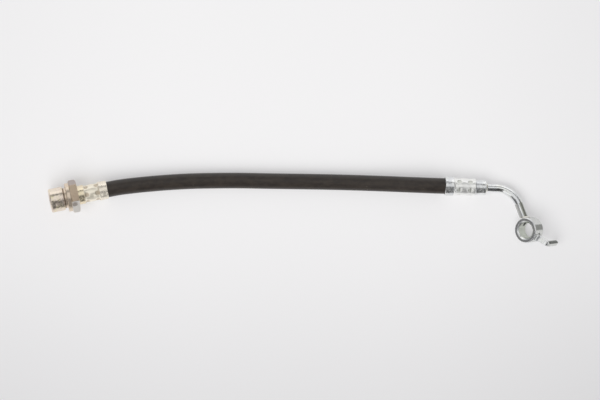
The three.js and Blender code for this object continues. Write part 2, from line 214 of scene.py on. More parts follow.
def bent_line(lead, radius, angle, run, step):
    """Points and directions of a straight run along X, an arc towards Y and a second straight run,
    about a step apart: the arc's point at angle a is (lead + r sin a, r (1 - cos a))."""
    arc = radius * angle
    count = [max(2, int(np.ceil(length / step))) for length in (lead, arc, run)]
    s = np.concatenate([
        np.linspace(0, lead, count[0], endpoint=False),
        lead + np.linspace(0, arc, count[1], endpoint=False),
        lead + arc + np.linspace(0, run, count[2]),
    ])
    a = np.clip((s - lead) / radius, 0, angle)
    after = np.maximum(s - lead - arc, 0)
    x = np.minimum(s, lead) + radius * np.sin(a) + after * np.cos(a)
    y = radius * (1 - np.cos(a)) + after * np.sin(a)
    return s, np.stack([x, y, 0 * x], -1), np.stack([np.cos(a), np.sin(a), 0 * a], -1)


def eye_place():
    """The eye's frame: Z back up the pipe and X along the bolt, turned about the pipe."""
    _, centres, forward = bent_line(*PIPE_LENGTHS, 1)
    along = forward[-1]
    normal = np.array([0, 0, 1])
    x = normal * np.cos(EYE_TURN) + np.cross(along, normal) * np.sin(EYE_TURN)
    centre = centres[-1] + along * (EYE_RADIUS - PIPE_IN_EYE)
    return PIPE_PLACE.turned(centre, x, np.cross(-along, x), -along)


INLET_PLACE = fitting_place(ROUTE[0], INLET)
OUTLET_PLACE = fitting_place(ROUTE[-1], OUTLET)
PIPE_PLACE = OUTLET_PLACE.turned(
    [SOCKET_END - PIPE_SEAT + SEAT_GAP, 0, 0],
    [1, 0, 0],
    [0, np.cos(PIPE_PLANE), np.sin(PIPE_PLANE)],
    [0, -np.sin(PIPE_PLANE), np.cos(PIPE_PLANE)],
)
EYE_PLACE = eye_place()


def curve_through(points, per_span=24):
    """A curve through the points: in each span it is the cubic whose end slopes come from the two
    neighbouring spans, each span being as long in time as the square root of its length."""
    p = np.vstack([2 * points[0] - points[1], points, 2 * points[-1] - points[-2]])
    gap = np.sqrt(np.linalg.norm(np.diff(p, axis=0), axis=1))[:, None]
    slope = np.diff(p, axis=0) / gap
    tangent = slope[:-1] - (p[2:] - p[:-2]) / (gap[:-1] + gap[1:]) + slope[1:]
    t = np.linspace(0, 1, per_span, endpoint=False)[:, None, None]
    start, end, span = p[1:-2], p[2:-1], gap[1:-1]
    curve = (
        start * (1 - 3 * t**2 + 2 * t**3)
        + tangent[:-1] * span * (t - 2 * t**2 + t**3)
        + end * (3 * t**2 - 2 * t**3)
        + tangent[1:] * span * (t**3 - t**2)
    )
    return np.vstack([curve.transpose(1, 0, 2).reshape(-1, 3), points[-1:]])


# Profiles

def eased(profile, radius=0.12):
    """A closed profile whose corners are short parabolas, each touching both its sides, with one more
    point beside each end so that the flats stay flat."""
    p = np.array(profile, float)
    sides = [np.roll(p, 1, axis=0) - p, np.roll(p, -1, axis=0) - p]
    lengths = [np.linalg.norm(side, axis=1, keepdims=True) for side in sides]
    cut = np.minimum(radius, 0.4 * np.minimum(*lengths))
    start, end = (p + side / length * cut for side, length in zip(sides, lengths))
    flat_start, flat_end = (p + side / length * cut * 1.25 for side, length in zip(sides, lengths))
    t = np.linspace(0, 1, 6)[:, None, None]
    arc = (1 - t) ** 2 * start + 2 * t * (1 - t) * p + t**2 * end
    rows = np.concatenate([flat_start[None], arc, flat_end[None]])
    return rows.transpose(1, 0, 2).reshape(-1, 2)


def stepped(profile, step_at):
    """The same closed profile with points added so that no side is longer than step_at of its middle."""
    after = np.roll(profile, -1, axis=0)
    middle = (profile + after) / 2
    step = step_at(middle[:, 0], middle[:, 1])
    count = np.maximum(1, np.ceil(np.linalg.norm(after - profile, axis=1) / step)).astype(int)
    first = np.repeat(np.cumsum(count) - count, count)
    share = ((np.arange(count.sum()) - first) / np.repeat(count, count))[:, None]
    return np.repeat(profile, count, axis=0) * (1 - share) + np.repeat(after, count, axis=0) * share


def lathe(x, radius, angles):
    """Points at distance x along an axis and radius from it, at each angle: (x, r sin a, r cos a)."""
    x, radius = (np.broadcast_to(v, np.broadcast_shapes(v.shape, angles.shape)) for v in (x, radius))
    return np.stack([x, radius * np.sin(angles), radius * np.cos(angles)], -1)


def around(count):
    return np.linspace(0, 2 * np.pi, count, endpoint=False)[None, :]


def from_dimples(end, x, cosine):
    """For each of the two bands, the square of a point's distance from the nearest dimple's middle. With
    k dimples round a radius R it is close to (x - c)^2 + 2 (R / k)^2 (1 - cosine), where the cosine is
    that of k times the angle from a dimple."""
    middle = end["bell"] + end["crimp"] / 2
    round_it = (1 - cosine) * (2 * (SOCKET_RADIUS / DIMPLES_AROUND) ** 2)
    return [(x - (middle + side * end["bands"] / 2)) ** 2 + round_it for side in (-1, 1)]


def crimped_in(end, x, angle):
    """How far the crimp presses the socket in: a shallow squeeze over the whole stretch, and in each of
    two bands a shallow groove and a row of flat-bottomed round dimples."""
    last = end["bell"] + end["crimp"]
    faded_out = smooth(last - x, 0, end["fade_out"]) if end["fade_out"] else 1
    stretch = smooth(x - end["bell"], 0, CRIMP_FADE) * faded_out
    cosine = np.cos(DIMPLES_AROUND * (angle - np.radians(end["turn"])))
    grooves = sum(np.exp(-square / BAND_HALF_LENGTH**2) for square in from_dimples(end, x, 1))
    dimples = sum(1 - smooth(square, *DIMPLE_EDGE) for square in from_dimples(end, x, cosine))
    pressed = grooves * BETWEEN_DIMPLES + dimples * (1 - BETWEEN_DIMPLES)
    return stretch * (CRIMP_SQUEEZE + DIMPLE_DEPTH * pressed)


def crimped(end, x, radius, angles):
    """The radius of a socket's outer and inner walls after the crimp."""
    reached = (x < end["bell"] + end["crimp"] + SEAT_GAP) & (radius > HOSE_RADIUS)
    return radius - np.where(reached, crimped_in(end, x, angles), 0)


# Meshes

def grid_quads(points, joined):
    """Quads of a grid whose columns go round. Its rows join up too, or end in a pole at each end."""
    rows, columns, _ = points.shape
    index = np.arange(rows * columns).reshape(rows, columns)
    here = index if joined else index[:-1]
    ahead = np.roll(index, -1, axis=0) if joined else index[1:]
    quads = np.stack([here, np.roll(here, -1, 1), np.roll(ahead, -1, 1), ahead], -1).reshape(-1, 4)
    verts = points.reshape(-1, 3)
    if joined:
        return verts, quads
    poles = np.stack([points[0].mean(0), points[-1].mean(0)])
    first, last = rows * columns, rows * columns + 1
    fans = [
        np.stack([np.full(columns, first), np.roll(index[0], -1), index[0], index[0]], -1),
        np.stack([np.full(columns, last), index[-1], np.roll(index[-1], -1), np.roll(index[-1], -1)], -1),
    ]
    return np.vstack([verts, poles]), np.vstack([quads, *fans])


def outward(verts, quads):
    """The quads, turned over if the volume that they enclose comes out negative."""
    a, b, c, d = (verts[quads[:, i]] for i in range(4))
    volume = np.einsum("ij,ij->i", a, np.cross(b, c) + np.cross(c, d)).sum()
    return quads if volume > 0 else quads[:, ::-1]


def piece(name, node, slot, material, *grids):
    """One object of closed grids in the row's frame, (points, whether the rows join up), which stands
    for the node."""
    verts, faces, start = [], [], 0
    for points, joined in grids:
        v, q = grid_quads(points, joined)
        q = outward(v, q) + start
        faces += [
            [int(i) for i in dict.fromkeys(face)] if len(set(face)) < 4 else face for face in q.tolist()
        ]
        verts.append(v)
        start += len(v)
    mesh = bpy.data.meshes.new(name)
    mesh.from_pydata((np.vstack(verts) * MM).tolist(), [], faces)
    mesh.shade_smooth()
    mesh.validate()
    mesh.materials.append(material)
    obj = bpy.data.objects.new(name, mesh)
    bpy.context.scene.collection.objects.link(obj)
    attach(obj, BODY)
    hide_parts(node)
    return obj


# Materials

class Socket:
    """A node's output. Arithmetic on it adds Math nodes."""

    def __init__(self, nodes, link):
        self.nodes, self.link = nodes, link

    def __add__(self, other):
        return self.nodes.math("ADD", self, other)

    def __sub__(self, other):
        return self.nodes.math("SUBTRACT", self, other)

    def __rsub__(self, other):
        return self.nodes.math("SUBTRACT", other, self)

    def __mul__(self, other):
        return self.nodes.math("MULTIPLY", self, other)

    def __pow__(self, other):
        return self.nodes.math("POWER", self, other)

    def __neg__(self):
        return self.nodes.math("MULTIPLY", self, -1)

    __radd__, __rmul__ = __add__, __mul__


class Nodes:
    """A node tree that nodes are added to, each with its settings first and then its sockets' values
    or links."""

    def __init__(self, tree):
        self.tree = tree
        tree.nodes.clear()

    def add(self, kind, settings=(), inputs=(), output=0):
        node = self.tree.nodes.new("ShaderNode" + kind)
        for key, value in dict(settings).items():
            setattr(node, key, value)
        for key, value in inputs.items() if isinstance(inputs, dict) else enumerate(inputs):
            if isinstance(value, Socket):
                self.tree.links.new(value.link, node.inputs[key])
            else:
                node.inputs[key].default_value = value
        return Socket(self, node.outputs[output]) if node.outputs else None

    def math(self, operation, *values):
        return self.add("Math", {"operation": operation}, values)

    def mixed(self, share, a, b):
        """Colour a where share is 0 and b where it is 1."""
        return self.add("Mix", {"data_type": "RGBA"}, {0: share, 6: a, 7: b}, 2)

    def step(self, value, low, high):
        """0 below low, 1 above high, and smooth between them."""
        return self.add("MapRange", {"interpolation_type": "SMOOTHSTEP"}, [value, low, high, 0, 1])

    def between(self, value, low, high, soft):
        """1 where the value is between two limits, and 0 elsewhere."""
        return self.step(value, low - soft, low + soft) * (1 - self.step(value, high - soft, high + soft))

    def noise(self, vector, scale, detail=2, roughness=0.5):
        inputs = {"Vector": vector, "Scale": scale, "Detail": detail, "Roughness": roughness}
        return self.add("TexNoise", {}, inputs)

    def in_millimetres(self, place=None):
        """Object coordinates in millimetres, in a place's own frame if one is given."""
        place = place or Place([0, 0, 0], [1, 0, 0], [0, 1, 0], [0, 0, 1])
        rotation = Matrix(place.axes.tolist())
        inputs = {
            "Vector": self.add("TexCoord", output="Object"),
            "Location": -(rotation @ Vector(place.origin)),
            "Rotation": rotation.to_euler(),
            "Scale": [1 / MM] * 3,
        }
        return self.add("Mapping", {"vector_type": "POINT"}, inputs)

    def scaled(self, vector, factors):
        return self.add("VectorMath", {"operation": "MULTIPLY"}, [vector, factors])

    def axis(self, vector, name):
        return self.add("SeparateXYZ", {}, [vector], name)


def colour(red, green, blue):
    """A colour of 0 to 255 as the screen shows it, in linear light."""
    c = np.array([red, green, blue]) / 255
    return (*np.where(c > 0.04045, ((c + 0.055) / 1.055) ** 2.4, c / 12.92).tolist(), 1)


def finish(name, build, **constants):
    """A material: build adds nodes and returns what goes into the shader's changing sockets, a height
    in millimetres among them, and the constants are set on the shader itself."""
    material = bpy.data.materials.new(name)
    material.use_nodes = True
    nodes = Nodes(material.node_tree)
    sockets = build(nodes)
    height = sockets.pop("Height", None)
    if height is not None:
        sockets["Normal"] = nodes.add("Bump", {}, {"Strength": 1, "Distance": MM, "Height": height})
    sockets.update({key.replace("_", " "): value for key, value in constants.items()})
    shader = nodes.add("BsdfPrincipled", {}, sockets)
    nodes.add("OutputMaterial", {}, [shader])
    return material


def zone(x=None, y=None, z=None, radius=None, soft=0.15):
    """A mask of what lies between two distances along X, Y or Z or from the X axis, where limits are
    given."""

    def mask(nodes, at):
        across, up = nodes.axis(at, "Y"), nodes.axis(at, "Z")
        values = nodes.axis(at, "X"), across, up, (across * across + up * up) ** 0.5
        limited = [pair for pair in zip(values, (x, y, z, radius)) if pair[1]]
        masks = [nodes.between(value, *limits, soft) for value, limits in limited]
        return prod(masks[1:], start=masks[0])

    return mask


def placed(place, mask):
    """The same mask in another place's frame."""
    return lambda nodes, at: mask(nodes, nodes.in_millimetres(place))


def painted_dark_spot(centre, size):
    """A mask of what is near a point, with a ragged edge, for dark spots of painted shade and painted
    reflection.
    """

    def mask(nodes, at):
        away = nodes.add("VectorMath", {"operation": "DISTANCE"}, [at, centre], "Value")
        ragged = away + (nodes.noise(at, 1.1, 2) - 0.5) * (0.9 * size)
        return 1 - nodes.step(ragged, 0.6 * size, 1.1 * size)

    return mask


def dimples(end):
    """A mask of the dimples' floors."""

    def mask(nodes, at):
        across, up = nodes.axis(at, "Y"), nodes.axis(at, "Z")
        angle = nodes.math("ARCTAN2", across, up) - float(np.radians(end["turn"]))
        cosine = nodes.math("COSINE", angle * DIMPLES_AROUND)
        squares = from_dimples(end, nodes.axis(at, "X"), cosine)
        return sum(1 - nodes.step(square, 1.3, 3.1) for square in squares)

    return mask


def area(mask, tint, cover, rough=0, matt=0):
    """A part of a piece that takes a tint of its own, which covers the base by a share, and may be rougher
    or more matt; some areas are the plating's own tint, others are painted shade and painted reflections."""
    return dict(mask=mask, tint=tint, cover=cover, rough=rough, matt=matt)


def zinc(place, base, tints, wobble, areas=(), rough=0.16, tooling=0.012):
    """Plated steel: its base colour drifts through the tints in patches, the turning tool or die has
    left rings, the plating is a little uneven, and the areas are laid over it in turn."""

    def build(nodes):
        at = nodes.in_millimetres(place)
        patches = nodes.noise(at, 0.16, 3, 0.6)
        clouds = nodes.noise(nodes.scaled(at, (1.3, 0.7, 0.7)), 0.35, 2)
        rings = nodes.noise(nodes.scaled(at, (7, 0.12, 0.12)), 1, 3, 0.7)
        grain = nodes.noise(at, 5, 2, 0.6)
        shade = nodes.mixed(nodes.step(patches, 0.38, 0.62), base, tints[0])
        shade = nodes.mixed(nodes.step(clouds, 0.5, 0.72) * 0.7, shade, tints[1])
        shade = nodes.mixed(nodes.step(rings, 0.55, 0.75) * 0.25, shade, tints[2])
        height = (nodes.noise(at, 0.45, 1) - 0.5) * wobble + (rings - 0.5) * tooling + (grain - 0.5) * 0.01
        roughness = rough + patches * 0.14 + rings * 0.08
        metal = 1
        for part in areas:
            inside = part["mask"](nodes, at)
            shade = nodes.mixed(inside * part["cover"], shade, part["tint"])
            if part["rough"]:
                roughness = roughness + inside * part["rough"]
            if part["matt"]:
                metal = metal - inside * part["matt"]
        return {"Base Color": shade, "Roughness": roughness, "Metallic": metal, "Height": height}

    return build


def brazing(place):
    """Brazing metal that has flowed: bright, lumpy, with dull spots."""

    def build(nodes):
        at = nodes.in_millimetres(place)
        lumps = nodes.noise(at, 0.9, 2)
        spots = nodes.step(nodes.noise(at, 2.2, 2, 0.6), 0.58, 0.7)
        shade = nodes.mixed(spots * 0.5, colour(240, 238, 230), colour(176, 170, 158))
        return {"Base Color": shade, "Roughness": 0.2 + spots * 0.2, "Height": lumps * 0.22}

    return build


def hose_rubber(nodes):
    """Extruded rubber: streaks along the hose, soft mottling, a fine grain and specks of dust. The UV
    map holds the distance along the hose and round it, in millimetres."""
    uv = nodes.add("UVMap", {"uv_map": "surface"})
    streaks = nodes.noise(nodes.scaled(uv, (0.03, 1.1, 1)), 1, 3, 0.6)
    mottle = nodes.noise(nodes.scaled(uv, (0.16, 0.3, 1)), 1, 3, 0.65)
    grain = nodes.noise(uv, 4, 3, 0.7)
    cell = nodes.add("TexVoronoi", {}, {"Vector": uv, "Scale": 0.33, "Randomness": 1}, "Distance")
    chance = nodes.add("TexVoronoi", {}, {"Vector": uv, "Scale": 0.33, "Randomness": 1}, "Color")
    pick = nodes.add("SeparateColor", {}, [chance])
    dust = (1 - nodes.step(cell, 0.03, 0.1)) * nodes.step(pick, 0.6, 1)
    shade = nodes.mixed(nodes.step(mottle, 0.35, 0.65), colour(39, 33, 29), colour(52, 45, 39))
    shade = nodes.mixed(nodes.step(streaks, 0.5, 0.75) * 0.5, shade, colour(62, 55, 49))
    shade = nodes.mixed(dust * 0.7, shade, colour(122, 116, 108))
    rough = 0.36 + mottle * 0.14 + dust * 0.2
    height = streaks * 0.02 + grain * 0.014 + dust * 0.04
    return {"Base Color": shade, "Roughness": rough, "Height": height}


def plain_rubber(nodes):
    """Smooth moulded rubber with a faint grain."""
    at = nodes.in_millimetres()
    grain = nodes.noise(at, 2, 3)
    return {
        "Base Color": nodes.mixed(grain, colour(28, 27, 27), colour(44, 42, 41)),
        "Roughness": 0.45 + grain * 0.2,
        "Height": grain * 0.02,
    }


def yarn(nodes):
    """Braided yarn: two crossing sets of ridges, cream, darkened in the hollows as painted shade."""
    at = nodes.in_millimetres()
    along, up = nodes.axis(at, "X"), nodes.axis(at, "Z")
    ridges = [nodes.math("SINE", (along + up * side) * 3.1) for side in (-1, 1)]
    weave = nodes.math("MAXIMUM", *ridges) * 0.5 + 0.5
    return {
        # painted shade: the colour follows the ridges' height, darker in the hollows
        "Base Color": nodes.mixed(weave, colour(150, 142, 122), colour(220, 214, 196)),
        "Roughness": 0.95 - weave * 0.15,
        "Height": weave * 0.12,
    }


def turned_steel(nodes):
    """Bare turned steel with fine rings across the hose's direction."""
    at = nodes.in_millimetres()
    rings = nodes.noise(nodes.scaled(at, (6, 0.3, 0.3)), 1, 3)
    return {
        "Base Color": nodes.mixed(rings, colour(140, 139, 136), colour(186, 185, 181)),
        "Roughness": 0.3 + rings * 0.2,
        "Height": rings * 0.02,
    }


YELLOW_TINTS = [colour(234, 218, 204), colour(238, 228, 192), colour(206, 190, 170)]
BRIGHT_TINTS = [colour(226, 228, 230), colour(236, 237, 232), colour(204, 206, 208)]


# The hose

def hose_line(step=0.8):
    """The hose's centreline from inside one socket to inside the other, in equal steps."""
    points = np.vstack([INLET_PLACE.out([INLET_TAIL, 0, 0]), ROUTE, OUTLET_PLACE.out([OUTLET_TAIL, 0, 0])])
    curve = curve_through(points)
    s = np.concatenate([[0], np.cumsum(np.linalg.norm(np.diff(curve, axis=0), axis=1))])
    even = np.linspace(0, s[-1], int(s[-1] / step))
    return even, np.stack([np.interp(even, s, curve[:, i]) for i in range(3)], -1)


def hose_cover():
    """The outer rubber as a tube: centre + r (side cos a + up sin a), out along the outside and back
    along the bore. Inside the sockets the crimp draws it in."""
    s, centres = hose_line()
    forward = unit(np.gradient(centres, axis=0))
    side = unit(np.cross([0, 0, 1], forward))
    up = np.cross(forward, side)
    full = np.minimum(
        smooth(s, INLET_TAIL - FULL_IN_MOUTH - SQUEEZE_LENGTH, INLET_TAIL - FULL_IN_MOUTH),
        smooth(s[-1] - s, OUTLET_TAIL - FULL_IN_MOUTH - SQUEEZE_LENGTH, OUTLET_TAIL - FULL_IN_MOUTH),
    )
    outer = SQUEEZED_COVER + (HOSE_RADIUS - SQUEEZED_COVER) * full
    inner = SQUEEZED_COVER_BORE + (COVER_BORE - SQUEEZED_COVER_BORE) * full
    columns = 72
    a = -np.pi / 2 + around(columns)
    ring = side[:, None] * np.cos(a)[..., None] + up[:, None] * np.sin(a)[..., None]
    walls = [centres[:, None] + ring * r[:, None, None] for r in (outer, inner)]
    points = np.concatenate([walls[0], walls[1][::-1]])
    obj = piece(
        "hose_rubber", "hose_cover", "cover_rubber", finish("satin_rubber", hose_rubber), (points, True)
    )
    add_hose_uv(obj.data, np.concatenate([s, s[::-1]]), columns)


def add_hose_uv(mesh, along, columns):
    """Gives each corner its distance along the hose and round it, the seam being underneath."""
    corner = np.zeros(len(mesh.loops), int)
    mesh.loops.foreach_get("vertex_index", corner)
    row, column = corner // columns, corner % columns
    faces = column.reshape(-1, 4)
    over_seam = (faces.max(1) - faces.min(1) > columns / 2)[:, None] & (faces == 0)
    turns = (faces + columns * over_seam).ravel() / columns
    uv = np.stack([along[row], turns * 2 * np.pi * HOSE_RADIUS], -1)
    layer = mesh.uv_layers.new(name="surface")
    layer.data.foreach_set("uv", uv.ravel())


# The inlet end

def hex_radius(angles):
    """The hexagon's distance from its axis: half its width over the cosine to the nearest flat, the
    six flats being joined by a high power so that the corners are a little round."""
    power = 90
    cosines = [np.maximum(np.cos(angles - np.radians(HEX_TURN + 60 * k)), 0) for k in range(6)]
    return HEX_ACROSS / 2 * sum(c**power for c in cosines) ** (-1 / power)


def hexed(radius, angles):
    """The lesser of a turned radius r and the hexagon's radius h, a little rounded where they cross:
    -log(exp(-s r) + exp(-s h)) / s."""
    sharpness = 14
    return -np.logaddexp(-sharpness * radius, -sharpness * hex_radius(angles)) / sharpness


def thread(x, angles):
    """How far the port's thread cuts into its wall: a helix whose section is a triangle wave, which
    fades out towards the floor and the mouth."""
    turns = (x - END_FACE) / THREAD_PITCH - angles / (2 * np.pi)
    wave = 1 - np.abs(2 * (turns % 1) - 1)
    fade = smooth(x, PORT_FLOOR + 1.5, PORT_FLOOR + 3) * smooth(END_FACE - x, 0.2, 0.9)
    return THREAD_DEPTH * smooth(wave, 0.12, 0.95) * fade


def fitting_profile():
    """The fitting's section, from the socket's mouth along the outside and back through the port."""
    face_radius = HEX_ACROSS / 2
    fall = (HEX_CORNER - face_radius) * np.tan(np.radians(HEX_CHAMFER_ANGLE))
    seat_tip = PORT_FLOOR + FLARE_SEAT["height"]
    return [
        [0, SOCKET_RADIUS - MOUTH_CHAMFER - DRAWN_MOUTH],
        [MOUTH_CHAMFER, SOCKET_RADIUS - DRAWN_MOUTH],
        [INLET["bell"], SOCKET_RADIUS],
        [NECK, SOCKET_RADIUS],
        [NECK, face_radius],
        [NECK + fall, HEX_CORNER],
        [HEX_FACE - fall, HEX_CORNER],
        [HEX_FACE, face_radius],
        [HEX_FACE, COLLAR_RADIUS],
        [GROOVE, COLLAR_RADIUS],
        [GROOVE, BODY_RADIUS - GROOVE_DEPTH],
        [GROOVE_END, BODY_RADIUS - GROOVE_DEPTH],
        [GROOVE_END, BODY_RADIUS],
        [END_FACE - END_CHAMFER, BODY_RADIUS],
        [END_FACE, BODY_RADIUS - END_CHAMFER],
        [END_FACE, PORT_BORE + PORT_CHAMFER],
        [END_FACE - PORT_CHAMFER, PORT_BORE],
        [PORT_FLOOR, PORT_BORE],
        [PORT_FLOOR, FLARE_SEAT["base"]],
        [seat_tip, FLARE_SEAT["tip"]],
        [seat_tip, FLUID_HOLE],
        [INLET["depth"] + INSERT_SEAT, FLUID_HOLE],
        [INLET["depth"] + INSERT_SEAT, INSERT_HOLE],
        [INLET["depth"], INSERT_HOLE],
        [INLET["depth"], SOCKET_BORE],
        [0, SOCKET_BORE],
    ]


def fitting_areas():
    """The plating is pale on the socket, darker in its dimples and yellower on the neck. The flange is
    dull; its far flat is greyer as painted shade, its near flat paler as a painted reflection of the
    table, with a brown spot of painted reflection, and the groove is darkened with painted shade
    beside the end that holds the port."""
    flange = dict(x=(NECK, HEX_FACE))
    near_flat_painted_highlight = HEX_CORNER * np.sin(np.radians(HEX_TURN + 30)), FAR
    far_flat_painted_shade = -FAR, HEX_CORNER * np.sin(np.radians(HEX_TURN - 30))
    groove = dict(x=(GROOVE_END - 0.9, GROOVE_END), radius=(0, BODY_RADIUS - 0.4))
    return [
        area(zone(x=(-1, INLET["bell"])), colour(250, 243, 228), 0.8, matt=0.15),
        area(zone(x=(INLET["bell"], CRIMP_END)), colour(255, 248, 230), 0.9, rough=0.05, matt=0.3),
        area(dimples(INLET), colour(182, 164, 140), 0.65, rough=0.08),
        area(zone(x=(CRIMP_END, NECK)), colour(246, 233, 200), 0.7),
        area(zone(**flange), colour(196, 176, 152), 0.85, rough=0.2),
        # painted shade: the far flat is greyer where it mirrors the dimmer room
        area(zone(y=far_flat_painted_shade, **flange), colour(184, 174, 170), 0.9),
        # painted reflection: the near flat is paler where it mirrors the bright table
        area(zone(y=near_flat_painted_highlight, **flange), colour(240, 236, 230), 1, matt=0.1),
        # painted reflection: a brown spot on the near flat
        area(painted_dark_spot((22.5, 5.2, 8.3), 2.2), colour(104, 80, 62), 0.55),
        area(zone(x=(HEX_FACE, GROOVE_END)), colour(224, 206, 184), 0.6, rough=0.05),
        # painted shade: the bottom of the groove beside the end body is darkened
        area(zone(**groove), colour(112, 90, 72), 0.8),
    ]


def female_fitting():
    """The turned fitting, one closed surface: radius as a function of the distance along the profile
    and the angle, with the hexagon, the crimps and the thread worked into the radius."""

    def step_at(x, radius):
        in_port = (x > PORT_FLOOR) & (np.abs(radius - PORT_BORE) < NEAR)
        in_flange = (x > NECK - NEAR) & (x < HEX_FACE + NEAR) & (radius > COLLAR_RADIUS)
        in_crimp = (x < CRIMP_END + 1) & (radius > HOSE_RADIUS)
        return np.select([in_port, in_flange, in_crimp], [0.09, 0.15, 0.3], 2.5)

    profile = np.array(fitting_profile())
    turned_edges = (profile[:, :1] > NECK - NEAR) & (profile[:, 1:] > PORT_BORE + PORT_CHAMFER)
    rows = stepped(eased(profile, np.where(turned_edges, 0.25, 0.12)), step_at)
    x, radius = rows[:, :1], rows[:, 1:]
    angles = around(180)
    flange = (x > NECK - NEAR) & (x < HEX_FACE - NEAR) & (radius > COLLAR_RADIUS)
    port = (x > PORT_FLOOR + 0.5) & (x < END_FACE) & (np.abs(radius - PORT_BORE) < NEAR)
    worked = crimped(INLET, x, radius, angles)
    worked = np.where(flange, hexed(radius, angles), worked)
    worked = worked + np.where(port, thread(x, angles), 0)
    plating = zinc(INLET_PLACE, colour(243, 230, 214), YELLOW_TINTS, 0.16, fitting_areas())
    material = finish("yellow_zinc_plating", plating)
    points = INLET_PLACE.out(lathe(x, worked, angles))
    piece("port_fitting", "female_fitting", "yellow_zinc", material, (points, True))


# The outlet end

def crimp_socket():
    """The outlet's socket, one closed surface like the inlet's, stepping down to its tail."""
    pipe_hole = PIPE_RADIUS + FIT_GAP
    profile = [
        [0, SOCKET_RADIUS - MOUTH_CHAMFER],
        [MOUTH_CHAMFER, SOCKET_RADIUS],
        [SHOULDER, SOCKET_RADIUS],
        [SHOULDER + TAIL_CHAMFER, TAIL_RADIUS],
        [SOCKET_END - TAIL_CHAMFER, TAIL_RADIUS],
        [SOCKET_END, TAIL_RADIUS - TAIL_CHAMFER],
        [SOCKET_END, pipe_hole],
        [SOCKET_END - PIPE_SEAT, pipe_hole],
        [SOCKET_END - PIPE_SEAT, FLUID_HOLE],
        [OUTLET["depth"] + INSERT_SEAT, FLUID_HOLE],
        [OUTLET["depth"] + INSERT_SEAT, INSERT_HOLE],
        [OUTLET["depth"], INSERT_HOLE],
        [OUTLET["depth"], SOCKET_BORE],
        [0, SOCKET_BORE],
    ]

    def step_at(x, radius):
        return np.where((x < SHOULDER) & (radius > HOSE_RADIUS), 0.25, 2.5)

    rows = stepped(eased(profile), step_at)
    x, radius = rows[:, :1], rows[:, 1:]
    angles = around(180)
    points = OUTLET_PLACE.out(lathe(x, crimped(OUTLET, x, radius, angles), angles))
    areas = [
        area(zone(x=(OUTLET["bell"], SHOULDER)), colour(254, 254, 251), 0.8, rough=0.04, matt=0.2),
        area(dimples(OUTLET), colour(196, 198, 190), 0.7),
    ]
    material = bright_zinc("socket_zinc", OUTLET_PLACE, 0.2, areas)
    piece("outlet_socket", "crimp_socket", "bright_zinc", material, (points, True))


def bright_zinc(name, place, wobble, areas=(), **look):
    return finish(name, zinc(place, colour(246, 247, 246), BRIGHT_TINTS, wobble, areas, **look))


def pipe_painted_reflections():
    """Painted reflections on top of the pipe's last straight: a grey band on one side and an olive one on
    the other, both made more matt.
    """
    up_the_run = level_place(EYE_PLACE.origin, EYE_PLACE.axes[2])
    run = dict(x=(EYE_RADIUS, EYE_RADIUS + PIPE_RUN + 0.5), z=(0, FAR))
    return [
        # painted reflections: a grey band and an olive band along the last straight
        area(placed(up_the_run, zone(y=(1, FAR), **run)), colour(174, 174, 172), 0.9, matt=0.75),
        area(placed(up_the_run, zone(y=(-2.3, -0.1), **run)), colour(150, 152, 140), 0.85, matt=0.3),
    ]


def bent_pipe():
    """A tube along the bent line: centre + r (in cos a + Z sin a), out along the outside and back along
    the bore. In the bend it is a little flatter in the bend's plane, as a bent pipe is."""
    s, centres, forward = bent_line(*PIPE_LENGTHS, 0.35)
    lead, radius, angle, _ = PIPE_LENGTHS
    inwards = np.stack([-forward[:, 1], forward[:, 0], 0 * s], -1)
    bent = smooth(s, lead - 1, lead + 3) * smooth(lead + radius * angle - s, -1, 3)
    a = around(64)

    def wall(r):
        across = r * (1 - 0.035 * bent)[:, None] * np.cos(a)
        up = r * (1 + 0.02 * bent)[:, None] * np.sin(a)
        return centres[:, None] + inwards[:, None] * across[..., None] + np.array([0, 0, 1]) * up[..., None]

    points = PIPE_PLACE.out(np.concatenate([wall(PIPE_RADIUS), wall(PIPE_BORE)[::-1]]))
    material = bright_zinc("pipe_zinc", PIPE_PLACE, 0.06, pipe_painted_reflections(), rough=0.05)
    piece("steel_pipe", "bent_pipe", "bright_zinc", material, (points, True))


def fillet_rows(inner, leg, count=9):
    """A hollow curve from the pipe's wall out to the face: shares 0 to 1 along a parabola whose corner
    is where the two meet, as (rise up the pipe, distance from its axis)."""
    t = np.linspace(0, 1, count)[:, None]
    return leg * (1 - t) ** 2, inner + leg * t**2


def socket_braze():
    """A ring of brazing between the socket's end and the pipe, its legs a little uneven."""
    a = around(72)
    leg = BRAZE_LEG * (1 + 0.1 * np.sin(2 * a + 0.6) + 0.06 * np.sin(5 * a))
    rise, out = fillet_rows(BRAZED_RADIUS, leg)
    face = SOCKET_END + FIT_GAP / 2
    x = np.vstack([face + rise, np.full_like(a, face)])
    radius = np.vstack([out, np.full_like(a, BRAZED_RADIUS)])
    material = finish("socket_brazing", brazing(OUTLET_PLACE), Metallic=1)
    points = OUTLET_PLACE.out(lathe(x, radius, a))
    piece("socket_fillet", "socket_braze", "brazing", material, (points, True))


def eye_braze():
    """The fillet at the eye: its outer rim follows the eye's round side, whose height over the axis is
    the root of R^2 less the square of the distance across."""
    a = around(72)
    leg = BRAZE_LEG * (1 + 0.12 * np.sin(2 * a + 1.4) + 0.05 * np.sin(3 * a))
    rise, out = fillet_rows(BRAZED_RADIUS, leg)
    rise = np.vstack([rise, 0 * leg])
    out = np.vstack([out, np.full_like(a, BRAZED_RADIUS)])
    x, y = out * np.cos(a), out * np.sin(a)
    z = np.sqrt((EYE_RADIUS + FIT_GAP / 3) ** 2 - y**2) + rise
    material = finish("eye_brazing", brazing(EYE_PLACE), Metallic=1)
    points = EYE_PLACE.out(np.stack([x, y, z], -1))
    piece("eye_fillet", "eye_braze", "brazing", material, (points, True))


